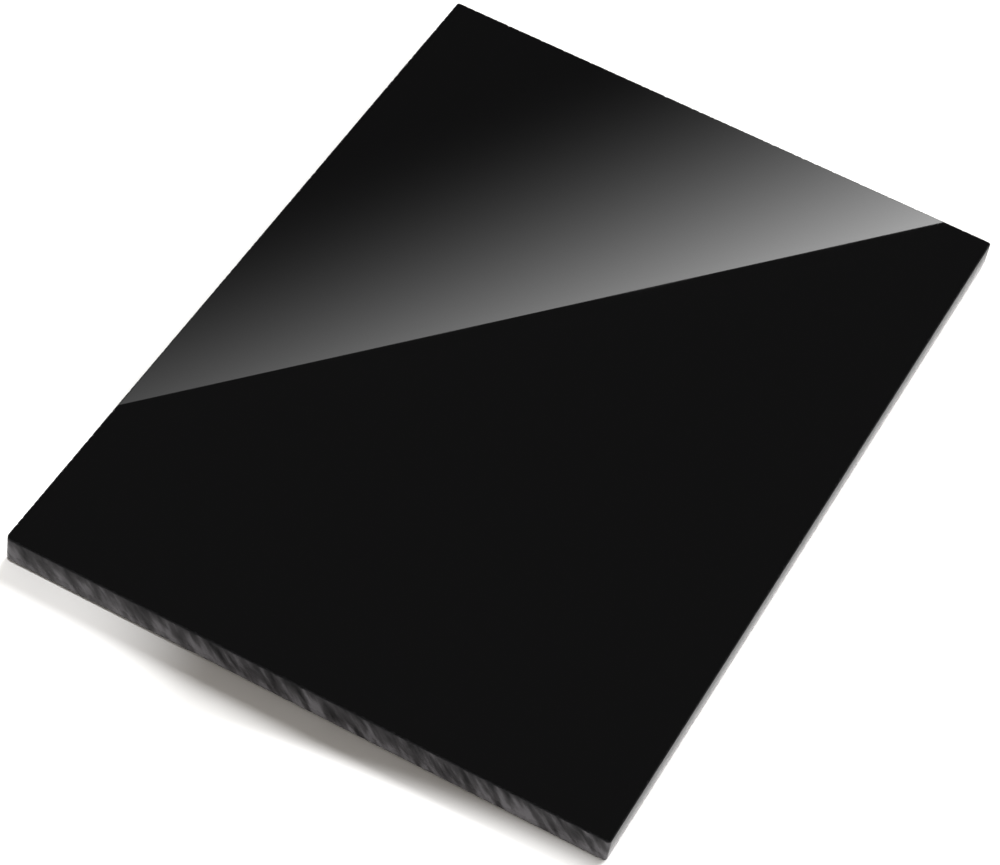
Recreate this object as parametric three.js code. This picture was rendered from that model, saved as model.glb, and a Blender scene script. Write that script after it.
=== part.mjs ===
// Kick plate fixed with adhesive: one cut sheet of black cast acrylic, the foam tape
// strips that bond its back to the foot of a door, and the release film that covers each
// strip until the plate is fitted.
//
// Units are millimetres. The plate lies on its back. +X runs along the plate, +Y up the
// door and +Z out of the door. The origin is the middle of the footprint, in the outer
// plane of the release films, which is the plane that the plate rests on.

import * as THREE from "three";

// Driving dimensions

const SHEET = {
  length: 297, // A4 long side
  height: 210, // A4 short side
  thickness: 9.6, // 10 mm cast sheet, which runs a little under its nominal gauge
  cornerRadii: [1, 2.2, 1, 1], // eased with a file, from the +X +Y corner counter-clockwise
  arris: 0.4, // sawn edge scraped where it meets each face
};

const TAPE = {
  width: 19,
  thickness: 0.6,
  edgeInset: 6, // from the sheet's edge to the outer strips
  gap: 3, // between a column's end and the rows above and below it
};

const FILM = {
  thickness: 0.1,
  overhang: 0.5, // past each long side of its tape
  pullTab: 8, // past the end of its tape, to be gripped when it is peeled
};

const COLUMN_NAMES = ["left", "inner_left", "inner_right", "right"];
const CORNER_SEGMENTS = 6;

// Levels, from the plane that the plate rests on

const TAPE_BASE = FILM.thickness;
const SHEET_BASE = TAPE_BASE + TAPE.thickness;

// Materials

const acrylic = { color: 0x0b0b0c, roughness: 0.05, metalness: 0 };
const foam = { color: 0x232325, roughness: 0.9, metalness: 0 };
const redFilm = { color: 0xb0252a, roughness: 0.3, metalness: 0 };

function namedMesh(name, geometry, look) {
  const mesh = new THREE.Mesh(geometry, new THREE.MeshStandardMaterial(look));
  mesh.name = name;
  return mesh;
}

// Sheet

function roundedRectangle(length, height, radii) {
  const outline = new THREE.Shape();
  radii.forEach((radius, index) => {
    const start = (index * Math.PI) / 2;
    const x = length / 2 - radius;
    const y = height / 2 - radius;
    const signX = index === 1 || index === 2 ? -1 : 1;
    const signY = index < 2 ? 1 : -1;
    outline.absarc(signX * x, signY * y, radius, start, start + Math.PI / 2);
  });
  return outline;
}

function makePanel() {
  const outline = roundedRectangle(SHEET.length, SHEET.height, SHEET.cornerRadii);
  const geometry = new THREE.ExtrudeGeometry(outline, {
    depth: SHEET.thickness - 2 * SHEET.arris,
    curveSegments: CORNER_SEGMENTS,
    bevelEnabled: true,
    bevelSegments: 1,
    bevelThickness: SHEET.arris,
    bevelSize: SHEET.arris,
    bevelOffset: -SHEET.arris,
  });
  const panel = namedMesh("panel", geometry, acrylic);
  panel.position.z = SHEET_BASE + SHEET.arris;
  return panel;
}

// Fixing strips. A row runs along X and a column along Y. Each strip is its film and the
// tape on it, and the tape stops short of the film at the strip's far end.

function blockAlong(axis, length, width, thickness) {
  const [sizeX, sizeY] = axis === "x" ? [length, width] : [width, length];
  return new THREE.BoxGeometry(sizeX, sizeY, thickness);
}

function makeStrip({ name, axis, length, x, y }) {
  const filmWidth = TAPE.width + 2 * FILM.overhang;
  const film = namedMesh(
    `film_${name}`,
    blockAlong(axis, length, filmWidth, FILM.thickness),
    redFilm,
  );
  film.position.z = FILM.thickness / 2;

  const tape = namedMesh(
    `tape_${name}`,
    blockAlong(axis, length - FILM.pullTab, TAPE.width, TAPE.thickness),
    foam,
  );
  tape.position.z = TAPE_BASE + TAPE.thickness / 2;
  tape.position[axis] = -FILM.pullTab / 2;

  const strip = new THREE.Group();
  strip.position.set(x, y, 0);
  strip.add(film, tape);
  return strip;
}

function stripLayout() {
  const margin = TAPE.edgeInset + TAPE.width / 2;
  const rowY = SHEET.height / 2 - margin;
  const rowLength = SHEET.length - 2 * TAPE.edgeInset;
  const rows = [
    { name: "top", axis: "x", length: rowLength, x: 0, y: rowY },
    { name: "bottom", axis: "x", length: rowLength, x: 0, y: -rowY },
  ];

  const columnLength = SHEET.height - 2 * (TAPE.edgeInset + TAPE.width + TAPE.gap);
  const firstX = -SHEET.length / 2 + margin;
  const pitch = (-2 * firstX) / (COLUMN_NAMES.length - 1);
  const columns = COLUMN_NAMES.map((name, index) => ({
    name,
    axis: "y",
    length: columnLength,
    x: firstX + index * pitch,
    y: 0,
  }));
  return [...rows, ...columns];
}

const kickPlate = new THREE.Group();
kickPlate.add(makePanel(), ...stripLayout().map(makeStrip));

export default kickPlate;
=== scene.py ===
"""A black acrylic kick plate on a pale studio floor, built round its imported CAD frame.

Metres, +Z up. The plate lies on its back: X runs along its long side, Y up the door, and
Z out of the door. The sheet, its foam tape strips and their release films are each made
here in detail, in the place of the plain CAD solid that they replace.
"""

import math
from collections import namedtuple

import bpy
from mathutils import Matrix, Vector, noise


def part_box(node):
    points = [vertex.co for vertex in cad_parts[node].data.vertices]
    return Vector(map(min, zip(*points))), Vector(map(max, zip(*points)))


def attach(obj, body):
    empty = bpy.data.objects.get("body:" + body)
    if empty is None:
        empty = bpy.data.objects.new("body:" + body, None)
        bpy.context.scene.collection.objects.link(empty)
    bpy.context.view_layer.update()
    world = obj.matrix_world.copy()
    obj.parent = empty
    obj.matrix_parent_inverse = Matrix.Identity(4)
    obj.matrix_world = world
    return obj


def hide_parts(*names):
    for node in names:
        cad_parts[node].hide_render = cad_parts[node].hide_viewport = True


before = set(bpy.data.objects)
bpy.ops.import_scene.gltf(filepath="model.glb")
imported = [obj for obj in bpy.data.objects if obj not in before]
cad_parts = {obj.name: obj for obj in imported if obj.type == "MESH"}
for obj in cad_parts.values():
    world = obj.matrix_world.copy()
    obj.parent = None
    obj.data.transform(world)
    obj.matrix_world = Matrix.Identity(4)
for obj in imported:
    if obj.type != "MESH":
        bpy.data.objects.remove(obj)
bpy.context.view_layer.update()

BODY = "root"
MM = 0.001

# Sheet, as in the CAD model, with its corners from +X +Y counter-clockwise
CORNER_RADII = [1.0 * MM, 2.2 * MM, 1.0 * MM, 1.0 * MM]
ARRIS = 0.4 * MM
SHEET_SHARP_ANGLE = math.radians(50)

# Saw marks, which a circular saw leaves leaning across the edge. The reach of a mark is how
# far up the edge it runs before it changes, and the weights say how much each kind counts.
SAW_LEAN = math.radians(34)
SAW_PITCH = 3.0 * MM
SAW_REACH = 9 * MM
SAW_WEIGHT = 1.1
SAW_FINE_PITCH = 0.7 * MM
SAW_FINE_REACH = 4 * MM
SAW_FINE_WEIGHT = 0.45
SAW_DEPTH = 0.09 * MM
SAW_STEP = 0.45 * MM
CHATTER_AT_START = 0.45
END_FADES_PER_SIDE = 40  # the marks fade out over a fortieth of the side at each end
CHIP_PITCH = 1.5 * MM
CHIP_WIDTH = 1.5  # times the arris

# Steps in the sheet's mesh
ARRIS_STEPS = 3
WALL_STEPS = 20
CORNER_STEPS = 8

# Third coordinates that keep the different uses of one noise apart
COARSE_LAYER = 0.0
FINE_LAYER = 7.0
CHIP_LAYER = 3.0
SLIT_LAYER = 5.0

# Second coordinates that keep the chips of the sheet's two edges apart
CHIP_ROW_GAP = 31.0
LOWER_EDGE = 1
UPPER_EDGE = 2

# Fixing strips. The foam's sides are drawn in by a share of its half width.
STRIP_STEP = 1.0 * MM
STRIP_SHARP_ANGLE = math.radians(35)
SLIT_DRAW = 0.010
SLIT_DRAW_CHANGE = 0.006
SLIT_PITCH = 3 * MM
SLIT_WAIST = 1.6
TAB_LIFT = 0.35 * MM
TAB_FLAT_START = 1.0 * MM
TAB_CURL_LENGTH = 7 * MM

# Materials
ACRYLIC_IOR = 1.49
DULLED_SPECULAR_LEVEL = 0.12
NOISE_LOW = 0.3
NOISE_HIGH = 0.7
SCRATCH_BUMP = 0.02 * MM
CELL_BUMP = 0.05 * MM
DRAW_LINE_BUMP = 0.01 * MM
POLISHED, SAWN, SCRAPED = range(3)

# Camera
LENS = 132.0
SENSOR = 36.0
VIEW_AZIMUTH = math.radians(-70.31)
VIEW_ELEVATION = math.radians(48.18)
VIEW_ROLL = math.radians(10.7)
VIEW_DISTANCE = 1.179
AIM_OFFSET = Vector((-24.5 * MM, -2.9 * MM, 0))

# Studio
FLOOR_SIZE = 40.0
FLOOR_ALBEDO = 0.85
FILL_OVERHEAD = 0.2
FILL_HORIZON = 2.25
FILL_COLOUR = (1.07, 1.0, 0.92)
KEY_STRENGTH = 8.5
KEY_AZIMUTH = math.radians(-11)
KEY_ELEVATION = math.radians(30)
KEY_SOFTNESS = math.radians(50)
SIDE_FILL_STRENGTH = 3.0
SIDE_FILL_AZIMUTH = math.radians(187)
SIDE_FILL_ELEVATION = math.radians(12)
SIDE_FILL_SOFTNESS = math.radians(60)
MIRRORED_OVERHEAD = 0.01
MIRRORED_HORIZON = 0.6
HORIZON_HEIGHT = math.radians(32)

# Washes: "out" is how far a wash's middle is out from the sheet's -X side, and "up" how far it
# is toward +Y from the sheet's middle
WASH_HEIGHT = 1.0
WASHES = [
    {
        "name": "wash_left",
        "out": 17 * MM,
        "up": 125 * MM,
        "radius": 98 * MM,
        "blend": 0.8,
        "power": 25,
    },
    {
        "name": "wash_right",
        "out": 446.5 * MM,
        "up": -110 * MM,
        "radius": 450 * MM,
        "blend": 0.05,
        "power": 52,
    },
]

# Softbox that the face mirrors, hung square to the mirrored line of sight
SOFTBOX_DISTANCE = 1.0
SOFTBOX_WIDTH = 1.2
SOFTBOX_HEIGHT = 0.8
SOFTBOX_EDGE = 0.0666
SOFTBOX_TILT = math.radians(12.5)
SOFTBOX_FADE_ANGLE = math.radians(-68.2)
SOFTBOX_FADE_START = 0.196
SOFTBOX_FADE_LENGTH = 0.18
SOFTBOX_FADE_POWER = 2.84
SOFTBOX_RADIANCE = 7.7

# A place on the sheet's outline: its point, its outward normal, how far round it is, and its
# share of the straight side's run, which is None on a corner
Sample = namedtuple("Sample", "point normal distance share")


# Node helpers


def new_material(name):
    """A material with one Principled shader, and its node tree and that shader."""
    material = bpy.data.materials.new(name)
    material.use_nodes = True
    tree = material.node_tree
    return material, tree, tree.nodes["Principled BSDF"]


def add_node(tree, kind, inputs=None, **settings):
    """A new node with its settings made and its input sockets set or linked."""
    node = tree.nodes.new(kind)
    for name, value in settings.items():
        setattr(node, name, value)
    for name, value in (inputs or {}).items():
        socket = node.inputs[name]
        if isinstance(value, bpy.types.NodeSocket):
            tree.links.new(value, socket)
        else:
            socket.default_value = value
    return node


def noise_value(tree, vector, scale, detail=3.0, roughness=0.5):
    """The value, from 0 to 1, of a noise texture over a vector."""
    return add_node(
        tree,
        "ShaderNodeTexNoise",
        {"Vector": vector, "Scale": scale, "Detail": detail, "Roughness": roughness},
    ).outputs["Fac"]


def stretched(tree, vector, scale):
    """The vector with each of its axes scaled."""
    return add_node(
        tree, "ShaderNodeMapping", {"Vector": vector, "Scale": scale}
    ).outputs["Vector"]


def ranged(tree, value, low, high, to_low, to_high):
    """A value moved from the range low to high to another range, and kept in it."""
    return add_node(
        tree,
        "ShaderNodeMapRange",
        {"Value": value, "From Min": low, "From Max": high, "To Min": to_low, "To Max": to_high},
    ).outputs["Result"]


def noise_to(tree, value, low, high):
    """A noise value moved from the range that most of it falls in to another range."""
    return ranged(tree, value, NOISE_LOW, NOISE_HIGH, low, high)


def summed(tree, values):
    """The sum of several values."""
    total, *rest = values
    for value in rest:
        total = add_node(tree, "ShaderNodeMath", {0: total, 1: value}, operation="ADD").outputs[0]
    return total


def ramp(tree, value, stops):
    """A colour ramp over a value, from a list of (position, linear colour)."""
    node = add_node(tree, "ShaderNodeValToRGB", {"Fac": value})
    elements = node.color_ramp.elements
    while len(elements) < len(stops):
        elements.new(1.0)
    for element, (position, colour) in zip(elements, stops):
        element.position = position
        element.color = (*colour, 1.0)
    return node.outputs["Color"]


def bumped(tree, height, distance, strength=1.0):
    """A normal bent by a height from 0 to 1, which is that distance deep."""
    return add_node(
        tree,
        "ShaderNodeBump",
        {"Height": height, "Distance": distance, "Strength": strength},
    ).outputs["Normal"]


def object_point(tree):
    """The point being shaded, in the object's own metres."""
    return add_node(tree, "ShaderNodeTexCoord").outputs["Object"]


# Materials


def polished_acrylic():
    """Cast black acrylic as it leaves the mould: near-black, glass-smooth, faintly dusty."""
    material, tree, shader = new_material("polished_acrylic")
    point = object_point(tree)
    haze = noise_value(tree, point, scale=22.0, detail=4.0)
    speck = add_node(
        tree, "ShaderNodeTexVoronoi", {"Vector": point, "Scale": 260.0}
    ).outputs["Distance"]
    dust = ranged(tree, speck, 0.03, 0.06, 1.0, 0.0)
    depth = ramp(tree, dust, [(0.0, (0.0028, 0.0028, 0.0029)), (1.0, (0.006, 0.006, 0.006))])
    tree.links.new(depth, shader.inputs["Base Color"])
    tree.links.new(ranged(tree, haze, 0.35, 0.7, 0.002, 0.010), shader.inputs["Roughness"])
    shader.inputs["IOR"].default_value = ACRYLIC_IOR
    return material


def sawn_acrylic(low_z, high_z):
    """The sheet's sawn edge: scuffed grey ridges, darker grooves and fine tooth scratches.

    It is lighter and glossier toward the bottom, from low_z to high_z. The lighter colour is
    painted light, and both suit the light of this scene, not a known property of sawn acrylic.
    """
    material, tree, shader = new_material("sawn_acrylic")
    point = object_point(tree)
    height = add_node(tree, "ShaderNodeSeparateXYZ", {"Vector": point}).outputs["Z"]
    groove = add_node(tree, "ShaderNodeAttribute", attribute_name="groove").outputs["Fac"]
    cut = add_node(tree, "ShaderNodeUVMap", uv_map="cut").outputs["UV"]
    scratched = stretched(tree, cut, (1.0, 0.12, 1.0))
    smeared = stretched(tree, cut, (1.0, 0.4, 1.0))
    banded = stretched(tree, cut, (1.0, 0.5, 1.0))
    scratch = noise_value(tree, scratched, scale=2600.0, detail=5.0, roughness=0.65)
    smear = noise_value(tree, smeared, scale=320.0, detail=5.0, roughness=0.6)
    band = noise_value(tree, banded, scale=160.0, detail=2.0)
    tone_and_painted_light = summed(
        tree,
        [
            ranged(tree, groove, 0.15, 0.95, 0.25, -0.25),
            noise_to(tree, scratch, -0.08, 0.08),
            noise_to(tree, smear, -0.36, 0.36),
            noise_to(tree, band, -0.2, 0.2),
            # Painted light: the colour lightens toward the bottom of the edge, for how light falls
            # across it
            ranged(tree, height, low_z, high_z, 0.8, 0.2),
        ],
    )
    grey = ramp(
        tree,
        tone_and_painted_light,
        [
            (0.0, (0.003, 0.003, 0.0035)),
            (0.5, (0.022, 0.021, 0.0225)),
            (1.0, (0.062, 0.060, 0.064)),
        ],
    )
    tree.links.new(grey, shader.inputs["Base Color"])
    dulled = summed(
        tree,
        [
            ranged(tree, height, low_z, high_z, 0.08, 0.8),
            noise_to(tree, smear, -0.08, 0.08),
        ],
    )
    tree.links.new(dulled, shader.inputs["Roughness"])
    tree.links.new(bumped(tree, scratch, SCRATCH_BUMP), shader.inputs["Normal"])
    shader.inputs["IOR"].default_value = ACRYLIC_IOR
    shader.inputs["Specular IOR Level"].default_value = DULLED_SPECULAR_LEVEL
    shader.inputs["Sheen Weight"].default_value = 0.15
    shader.inputs["Sheen Roughness"].default_value = 0.35
    return material


def scraped_acrylic():
    """The arris where a scraper broke the sawn edge: black, dull and faintly rippled."""
    material, tree, shader = new_material("scraped_acrylic")
    ripple = noise_value(tree, object_point(tree), scale=1500.0)
    black = ramp(
        tree, ripple, [(NOISE_LOW, (0.002, 0.002, 0.002)), (NOISE_HIGH, (0.009, 0.009, 0.010))]
    )
    tree.links.new(black, shader.inputs["Base Color"])
    tree.links.new(noise_to(tree, ripple, 0.5, 0.7), shader.inputs["Roughness"])
    tree.links.new(bumped(tree, ripple, SCRATCH_BUMP), shader.inputs["Normal"])
    shader.inputs["IOR"].default_value = ACRYLIC_IOR
    shader.inputs["Specular IOR Level"].default_value = DULLED_SPECULAR_LEVEL
    return material


def foam_tape():
    """Black closed-cell acrylic foam, matt, with its cells cut open along the sides."""
    material, tree, shader = new_material("foam_tape")
    point = object_point(tree)
    cells = add_node(
        tree, "ShaderNodeTexVoronoi", {"Vector": point, "Scale": 5200.0}
    ).outputs["Distance"]
    grain = noise_value(tree, point, scale=900.0, detail=4.0)
    # Partly painted shade: the colour darkens in the hollows of the open cells, with the foam's own
    # random grain over it
    shade = add_node(tree, "ShaderNodeMath", {0: cells, 1: grain}, operation="MULTIPLY").outputs[0]
    tree.links.new(
        ramp(tree, shade, [(0.05, (0.008, 0.008, 0.009)), (0.5, (0.040, 0.040, 0.043))]),
        shader.inputs["Base Color"],
    )
    tree.links.new(noise_to(tree, grain, 0.65, 0.9), shader.inputs["Roughness"])
    tree.links.new(bumped(tree, cells, CELL_BUMP), shader.inputs["Normal"])
    return material


def release_film():
    """Red polyethylene film with faint draw lines along it and a slight bloom."""
    material, tree, shader = new_material("release_film")
    cut = add_node(tree, "ShaderNodeUVMap", uv_map="cut").outputs["UV"]
    lines = noise_value(tree, stretched(tree, cut, (0.03, 1.0, 1.0)), scale=1500.0)
    bloom = noise_value(tree, cut, scale=60.0, detail=4.0)
    red = ramp(
        tree, bloom, [(NOISE_LOW, (0.34, 0.008, 0.012)), (NOISE_HIGH, (0.48, 0.022, 0.026))]
    )
    tree.links.new(red, shader.inputs["Base Color"])
    tree.links.new(noise_to(tree, lines, 0.22, 0.42), shader.inputs["Roughness"])
    tree.links.new(bumped(tree, lines, DRAW_LINE_BUMP), shader.inputs["Normal"])
    return material


def floor_paint():
    """Matt white studio floor."""
    material, _, shader = new_material("floor_paint")
    shader.inputs["Base Color"].default_value = (FLOOR_ALBEDO, FLOOR_ALBEDO, FLOOR_ALBEDO, 1.0)
    shader.inputs["Roughness"].default_value = 0.95
    shader.inputs["Specular IOR Level"].default_value = 0.0
    return material


# Mesh helpers


def mesh_object(name, vertices, faces, uvs=None):
    """A new object from vertices, faces and, for each face, a cut coordinate per corner."""
    mesh = bpy.data.meshes.new(name)
    mesh.from_pydata(vertices, [], faces)
    if uvs:
        layer = mesh.uv_layers.new(name="cut")
        flat = [value for face in uvs for corner in face for value in corner]
        layer.data.foreach_set("uv", flat)
    mesh.validate()
    mesh.update()
    built = bpy.data.objects.new(name, mesh)
    bpy.context.scene.collection.objects.link(built)
    return built


def shade_with_sharp_edges(piece, angle):
    """Smooth shading, except across edges that turn by more than the angle."""
    piece.data.shade_smooth()
    piece.data.set_sharp_from_angle(angle=angle)


# Sheet


def outline_samples(half_x, half_y):
    """Samples round the sheet, counter-clockwise from its +X side's -Y end, and the way round."""
    samples = []
    travelled = 0.0
    radii_before = CORNER_RADII[-1:] + CORNER_RADII[:-1]
    for side, (before, after) in enumerate(zip(radii_before, CORNER_RADII)):
        turn = side * math.pi / 2
        normal = Vector((math.cos(turn), math.sin(turn)))
        tangent = Vector((-math.sin(turn), math.cos(turn)))
        reach, run = (half_x, half_y) if side % 2 == 0 else (half_y, half_x)
        straight = 2 * run - before - after
        steps = round(straight / SAW_STEP)
        for step in range(steps + 1):
            share = step / steps
            point = normal * reach + tangent * (before - run + straight * share)
            samples.append(Sample(point, normal, travelled + straight * share, share))
        travelled += straight
        centre = normal * (reach - after) + tangent * (run - after)
        for step in range(1, CORNER_STEPS):
            angle = math.pi / 2 * step / CORNER_STEPS
            outward = normal * math.cos(angle) + tangent * math.sin(angle)
            point = centre + outward * after
            samples.append(Sample(point, outward, travelled + after * angle, None))
        travelled += after * math.pi / 2
    return samples, travelled


def groove_at(distance, height, share):
    """How deep the saw cut at a place on the sheet's edge, from 0 on a ridge to 1.

    The marks lean, so they are noise along a slanted distance. They deepen along each
    side as the blade warms and chatters, and fade out at both of its ends.
    """
    slant = distance + height * math.tan(SAW_LEAN)
    coarse = noise.noise(Vector((slant / SAW_PITCH, height / SAW_REACH, COARSE_LAYER)))
    fine = noise.noise(Vector((slant / SAW_FINE_PITCH, height / SAW_FINE_REACH, FINE_LAYER)))
    chatter = CHATTER_AT_START + (1 - CHATTER_AT_START) * share
    depth = 0.5 + chatter * (SAW_WEIGHT * coarse + SAW_FINE_WEIGHT * fine)
    ends = min(1.0, END_FADES_PER_SIDE * share, END_FADES_PER_SIDE * (1 - share))
    return max(0.0, min(1.0, depth)) * ends


def chip_at(distance, edge):
    """Extra width of the broken edge where the saw chipped it, as a share of the arris."""
    value = noise.noise(Vector((distance / CHIP_PITCH, edge * CHIP_ROW_GAP, CHIP_LAYER)))
    return CHIP_WIDTH * max(0.0, value)


def arris_profile(width, z, inward):
    """Points of a scraped arris from the face to the wall, as (inset, height).

    The face is at z, and inward is the way along Z into the sheet.
    """
    turns = [math.pi / 2 * step / ARRIS_STEPS for step in range(ARRIS_STEPS + 1)]
    return [(width * (1 - math.sin(turn)), z + inward * width * (1 - math.cos(turn))) for turn in turns]


def panel_column(sample, low, high):
    """The vertices up the edge at one place round the sheet, and how deep the saw cut each."""
    point, normal, distance, share = sample
    lower_width = ARRIS * (1 + chip_at(distance, LOWER_EDGE))
    upper_width = ARRIS * (1 + chip_at(distance, UPPER_EDGE))
    lower = arris_profile(lower_width, low.z, 1)
    upper = arris_profile(upper_width, high.z, -1)
    sawn_height = high.z - upper_width - low.z - lower_width
    wall = []
    for step in range(WALL_STEPS + 1):
        z = low.z + lower_width + sawn_height * step / WALL_STEPS
        groove = 0.0 if share is None else groove_at(distance, z - low.z, share)
        wall.append((groove * SAW_DEPTH, z, groove))
    bottom = [(inset, z, 0.0) for inset, z in lower[:-1]]
    top = [(inset, z, 0.0) for inset, z in reversed(upper[:-1])]

    vertices, grooves = [], []
    for inset, z, groove in bottom + wall + top:
        place = point - normal * inset
        vertices.append((place.x, place.y, z))
        grooves.append(groove)
    return vertices, grooves


def make_panel(materials):
    """The cut sheet: two polished faces, four sawn walls and their chipped, scraped arrises.

    The materials are those of the faces, the walls and the arrises, in that order.
    """
    low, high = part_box("panel")
    samples, around = outline_samples(high.x, high.y)
    vertices, grooves = [], []
    for sample in samples:
        column, depths = panel_column(sample, low, high)
        vertices += column
        grooves += depths

    per_column = WALL_STEPS + 1 + 2 * ARRIS_STEPS
    columns = len(samples)
    faces, uvs, slots = [], [], []
    for index in range(columns):
        after = (index + 1) % columns
        start = samples[index].distance
        end = samples[after].distance if after else around
        for row in range(per_column - 1):
            corners = [
                index * per_column + row,
                after * per_column + row,
                after * per_column + row + 1,
                index * per_column + row + 1,
            ]
            faces.append(corners)
            heights = [vertices[corner][2] for corner in corners]
            runs = (start, end, end, start)
            uvs.append([(run + z * math.tan(SAW_LEAN), z) for run, z in zip(runs, heights)])
            on_wall = ARRIS_STEPS <= row < per_column - 1 - ARRIS_STEPS
            slots.append(SAWN if on_wall else SCRAPED)
    walls = len(faces)
    bottom = [index * per_column for index in reversed(range(columns))]
    top = [index * per_column + per_column - 1 for index in range(columns)]
    for cap in (bottom, top):
        faces.append(cap)
        uvs.append([vertices[corner][:2] for corner in cap])
        slots.append(POLISHED)

    panel = mesh_object("acrylic_sheet", vertices, faces, uvs)
    groove_layer = panel.data.attributes.new("groove", "FLOAT", "POINT")
    groove_layer.data.foreach_set("value", grooves)
    for material in materials:
        panel.data.materials.append(material)
    panel.data.polygons.foreach_set("material_index", slots)
    shade_with_sharp_edges(panel, SHEET_SHARP_ANGLE)
    for cap in panel.data.polygons[walls:]:
        cap.use_smooth = False
    return panel


# Fixing strips


def make_strip(name, node, section, curl=None):
    """A strip lofted along the longer side of a CAD node's box.

    Both functions take a distance along the strip. section gives the outline across it as
    (share of half width, share of height), and curl how far that outline is lifted.
    """
    low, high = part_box(node)
    size = high - low
    along, across = (0, 1) if size.x > size.y else (1, 0)
    steps = round(size[along] / STRIP_STEP)
    centre = (low[across] + high[across]) / 2
    half = size[across] / 2
    vertices, faces, uvs = [], [], []
    for step in range(steps + 1):
        run = size[along] * step / steps
        for out, up in section(run):
            place = [0.0, 0.0, low.z + up * size.z]
            place[along] = low[along] + run
            place[across] = centre + half * out
            if curl:
                place[2] += curl(run)
            vertices.append(place)
    ring = len(section(0.0))
    flip = along == 1  # the outline runs the other way round a strip along Y
    for step in range(steps):
        for index in range(ring):
            after = (index + 1) % ring
            corners = [
                step * ring + index,
                step * ring + after,
                (step + 1) * ring + after,
                (step + 1) * ring + index,
            ]
            faces.append(corners[::-1] if flip else corners)
    first = list(range(ring))
    last = [steps * ring + index for index in range(ring)]
    faces.append(first if flip else first[::-1])
    faces.append(last[::-1] if flip else last)
    for face in faces:
        uvs.append([(vertices[corner][along], vertices[corner][across]) for corner in face])
    return mesh_object(name, vertices, faces, uvs)


def foam_section(run):
    """A slit foam strip: flat faces, and sides drawn in a little and cut unevenly."""
    unevenness = noise.noise(Vector((run / SLIT_PITCH, 0.0, SLIT_LAYER)))
    draw = SLIT_DRAW + SLIT_DRAW_CHANGE * unevenness
    waist = (1 - SLIT_WAIST * draw, 0.5)
    side = [(1.0, 0.0), (1 - draw, 0.15), waist, (1 - draw, 0.85), (1.0, 1.0)]
    return side + [(-out, up) for out, up in reversed(side)]


def film_section(_run):
    """A flat film with square slit edges, the same all along."""
    side = [(1.0, 0.0), (1.0, 1.0)]
    middle = [(0.5, 1.0), (0.0, 1.0), (-0.5, 1.0)]
    return side + middle + [(-1.0, 1.0), (-1.0, 0.0)] + [(-0.5, 0.0), (0.0, 0.0), (0.5, 0.0)]


def tab_curl(tape_end):
    """The lift of a film's free end, which starts just past the end of the tape on it."""

    def lift(run):
        past = max(0.0, run - tape_end - TAB_FLAT_START)
        return TAB_LIFT * (past / TAB_CURL_LENGTH) ** 2

    return lift


def make_fixings(foam, film):
    """The tape strips and the release films below them, each in the place of its CAD node."""
    made = []
    for node in sorted(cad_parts):
        kind, _, place = node.partition("_")
        if kind == "tape":
            piece = make_strip(f"foam_{place}", node, foam_section)
            piece.data.materials.append(foam)
        elif kind == "film":
            tape_low, tape_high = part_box(f"tape_{place}")
            tape_length = max(tape_high.x - tape_low.x, tape_high.y - tape_low.y)
            piece = make_strip(f"liner_{place}", node, film_section, tab_curl(tape_length))
            piece.data.materials.append(film)
        else:
            continue
        shade_with_sharp_edges(piece, STRIP_SHARP_ANGLE)
        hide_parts(node)
        made.append(piece)
    return made


# Studio


def camera_axes():
    """The camera's right, up and backward directions as a rotation matrix."""
    return (
        Matrix.Rotation(VIEW_AZIMUTH, 3, "Z")
        @ Matrix.Rotation(math.pi / 2 - VIEW_ELEVATION, 3, "X")
        @ Matrix.Rotation(VIEW_ROLL, 3, "Z")
    )


def aim_point():
    """The place on the sheet's face that the camera looks at."""
    low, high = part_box("panel")
    return Vector(((low.x + high.x) / 2, (low.y + high.y) / 2, high.z)) + AIM_OFFSET


def make_camera():
    """The camera, which becomes the scene's."""
    data = bpy.data.cameras.new("camera")
    data.lens = LENS
    data.sensor_width = SENSOR
    camera = bpy.data.objects.new("camera", data)
    axes = camera_axes()
    place = aim_point() + axes @ Vector((0, 0, VIEW_DISTANCE))
    camera.matrix_world = Matrix.Translation(place) @ axes.to_4x4()
    bpy.context.scene.collection.objects.link(camera)
    bpy.context.scene.camera = camera


def make_floor():
    """The floor, and a collection of it alone for the lights that light nothing else."""
    half = FLOOR_SIZE / 2
    corners = [(-half, -half, 0), (half, -half, 0), (half, half, 0), (-half, half, 0)]
    floor = mesh_object("studio_floor", corners, [(0, 1, 2, 3)])
    floor.data.materials.append(floor_paint())
    alone = bpy.data.collections.new("floor_alone")
    alone.objects.link(floor)
    return alone


def make_sun(name, strength, azimuth, elevation, softness):
    """A large distant softbox, modelled as a sun with a wide disc."""
    data = bpy.data.lights.new(name, "SUN")
    data.energy = strength
    data.angle = softness
    sun = bpy.data.objects.new(name, data)
    sun.rotation_euler = (0, math.pi / 2 - elevation, azimuth)
    sun.visible_glossy = False
    bpy.context.scene.collection.objects.link(sun)
    return sun


def make_suns(pieces):
    """The key light, and a weaker side fill that lights the object but not the floor."""
    make_sun("key", KEY_STRENGTH, KEY_AZIMUTH, KEY_ELEVATION, KEY_SOFTNESS)
    fill = make_sun(
        "side_fill", SIDE_FILL_STRENGTH, SIDE_FILL_AZIMUTH, SIDE_FILL_ELEVATION, SIDE_FILL_SOFTNESS
    )
    object_alone = bpy.data.collections.new("object_alone")
    for piece in pieces:
        object_alone.objects.link(piece)
    fill.light_linking.receiver_collection = object_alone


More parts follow.
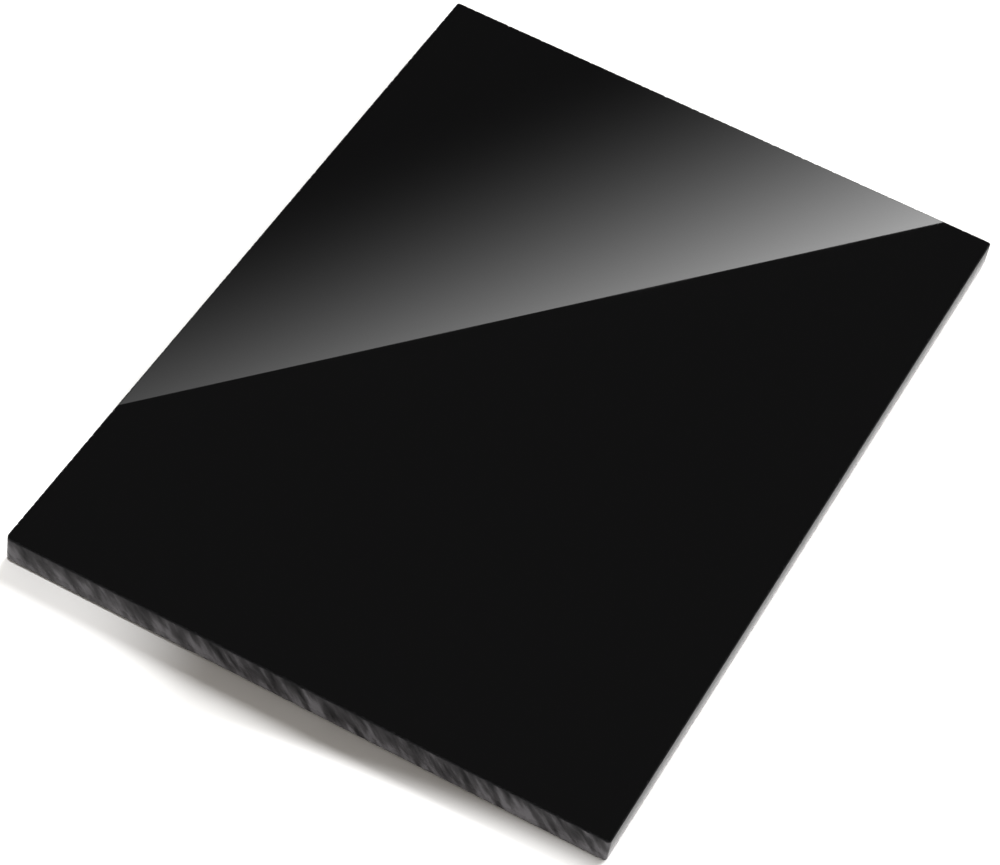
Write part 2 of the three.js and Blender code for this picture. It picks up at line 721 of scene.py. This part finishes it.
def make_washes(lit):
    """Spots overhead that thin the shadow off the -X side in round, soft-edged patches of floor."""
    low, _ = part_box("panel")
    for wash in WASHES:
        data = bpy.data.lights.new(wash["name"], "SPOT")
        data.energy = wash["power"]
        data.spot_size = 2 * math.atan(wash["radius"] / WASH_HEIGHT)
        data.spot_blend = wash["blend"]
        spot = bpy.data.objects.new(wash["name"], data)
        spot.location = (low.x - wash["out"], wash["up"], WASH_HEIGHT)
        spot.visible_glossy = False
        spot.light_linking.receiver_collection = lit
        bpy.context.scene.collection.objects.link(spot)


def softbox_paint():
    """Light that fades out from the softbox's lower edge, as from a lamp held near it."""
    material = bpy.data.materials.new("softbox_paint")
    material.use_nodes = True
    tree = material.node_tree
    tree.nodes.clear()
    place = add_node(tree, "ShaderNodeUVMap", uv_map="cut").outputs["UV"]
    direction = (math.cos(SOFTBOX_FADE_ANGLE), math.sin(SOFTBOX_FADE_ANGLE), 0)
    along = add_node(
        tree, "ShaderNodeVectorMath", {0: place, 1: direction}, operation="DOT_PRODUCT"
    ).outputs["Value"]
    share = ranged(
        tree, along, -SOFTBOX_FADE_START, SOFTBOX_FADE_LENGTH - SOFTBOX_FADE_START, 0.0, 1.0
    )
    share.node.clamp = False
    positive = add_node(tree, "ShaderNodeMath", {0: share, 1: 0.0}, operation="MAXIMUM").outputs[0]
    faded = add_node(
        tree, "ShaderNodeMath", {0: positive, 1: SOFTBOX_FADE_POWER}, operation="POWER"
    ).outputs[0]
    strength = add_node(
        tree, "ShaderNodeMath", {0: faded, 1: SOFTBOX_RADIANCE}, operation="MULTIPLY"
    ).outputs[0]
    light = add_node(tree, "ShaderNodeEmission", {"Strength": strength})
    add_node(tree, "ShaderNodeOutputMaterial", {"Surface": light.outputs["Emission"]})
    return material


def make_softbox():
    """The softbox seen in the face, placed on the camera's line of sight as the face mirrors it."""
    mirror = Matrix.Diagonal(Vector((1, 1, -1)))
    right, up, back = ((mirror @ axis).normalized() for axis in camera_axes().col)
    centre = aim_point() - back * SOFTBOX_DISTANCE
    along = Vector((math.cos(SOFTBOX_TILT), math.sin(SOFTBOX_TILT)))
    above = Vector((-along.y, along.x))
    lower_edge = Vector((0, SOFTBOX_EDGE))
    half = along * SOFTBOX_WIDTH / 2
    flat = [
        lower_edge - half,
        lower_edge + half,
        lower_edge + half + above * SOFTBOX_HEIGHT,
        lower_edge - half + above * SOFTBOX_HEIGHT,
    ]
    corners = [centre + right * place.x + up * place.y for place in flat]
    softbox = mesh_object("softbox", corners, [(0, 1, 2, 3)], [[tuple(place) for place in flat]])
    softbox.data.materials.append(softbox_paint())
    softbox.visible_camera = False
    softbox.visible_diffuse = False
    softbox.visible_shadow = False


def glow_by_height(tree, rise, horizon, overhead):
    """A brightness that falls from the horizon's to the one overhead as a direction rises."""
    return add_node(
        tree,
        "ShaderNodeMapRange",
        {
            "Value": rise,
            "From Min": 0.0,
            "From Max": math.sin(HORIZON_HEIGHT),
            "To Min": horizon,
            "To Max": overhead,
        },
        interpolation_type="SMOOTHSTEP",
    ).outputs["Result"]


def make_world():
    """White to the camera, soft fill for matt surfaces, a dim room with a lit horizon for gloss."""
    world = bpy.data.worlds.new("studio")
    bpy.context.scene.world = world
    world.use_nodes = True
    tree = world.node_tree
    tree.nodes.clear()
    rays = add_node(tree, "ShaderNodeLightPath")
    direction = add_node(tree, "ShaderNodeTexCoord").outputs["Generated"]
    rise = add_node(tree, "ShaderNodeSeparateXYZ", {"Vector": direction}).outputs["Z"]
    filling = glow_by_height(tree, rise, FILL_HORIZON, FILL_OVERHEAD)
    mirrored = glow_by_height(tree, rise, MIRRORED_HORIZON, MIRRORED_OVERHEAD)
    fill = add_node(tree, "ShaderNodeBackground", {"Strength": filling})
    room = add_node(tree, "ShaderNodeBackground", {"Strength": mirrored})
    white = add_node(tree, "ShaderNodeBackground", {"Strength": 1.0})
    fill.inputs["Color"].default_value = (*FILL_COLOUR, 1)
    for background in (room, white):
        background.inputs["Color"].default_value = (1, 1, 1, 1)
    unseen = add_node(tree, "ShaderNodeMixShader", {0: rays.outputs["Is Glossy Ray"]})
    tree.links.new(fill.outputs[0], unseen.inputs[1])
    tree.links.new(room.outputs[0], unseen.inputs[2])
    seen = add_node(tree, "ShaderNodeMixShader", {0: rays.outputs["Is Camera Ray"]})
    tree.links.new(unseen.outputs[0], seen.inputs[1])
    tree.links.new(white.outputs[0], seen.inputs[2])
    add_node(tree, "ShaderNodeOutputWorld", {"Surface": seen.outputs[0]})
    world.cycles.sampling_method = "NONE"


make_camera()
sheet_low, sheet_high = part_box("panel")
finishes = [polished_acrylic(), sawn_acrylic(sheet_low.z, sheet_high.z), scraped_acrylic()]
panel = make_panel(finishes)
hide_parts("panel")
pieces = [panel, *make_fixings(foam_tape(), release_film())]
for piece in pieces:
    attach(piece, BODY)

make_suns(pieces)
make_washes(make_floor())
make_softbox()
make_world()
bpy.context.scene.view_settings.view_transform = "Standard"
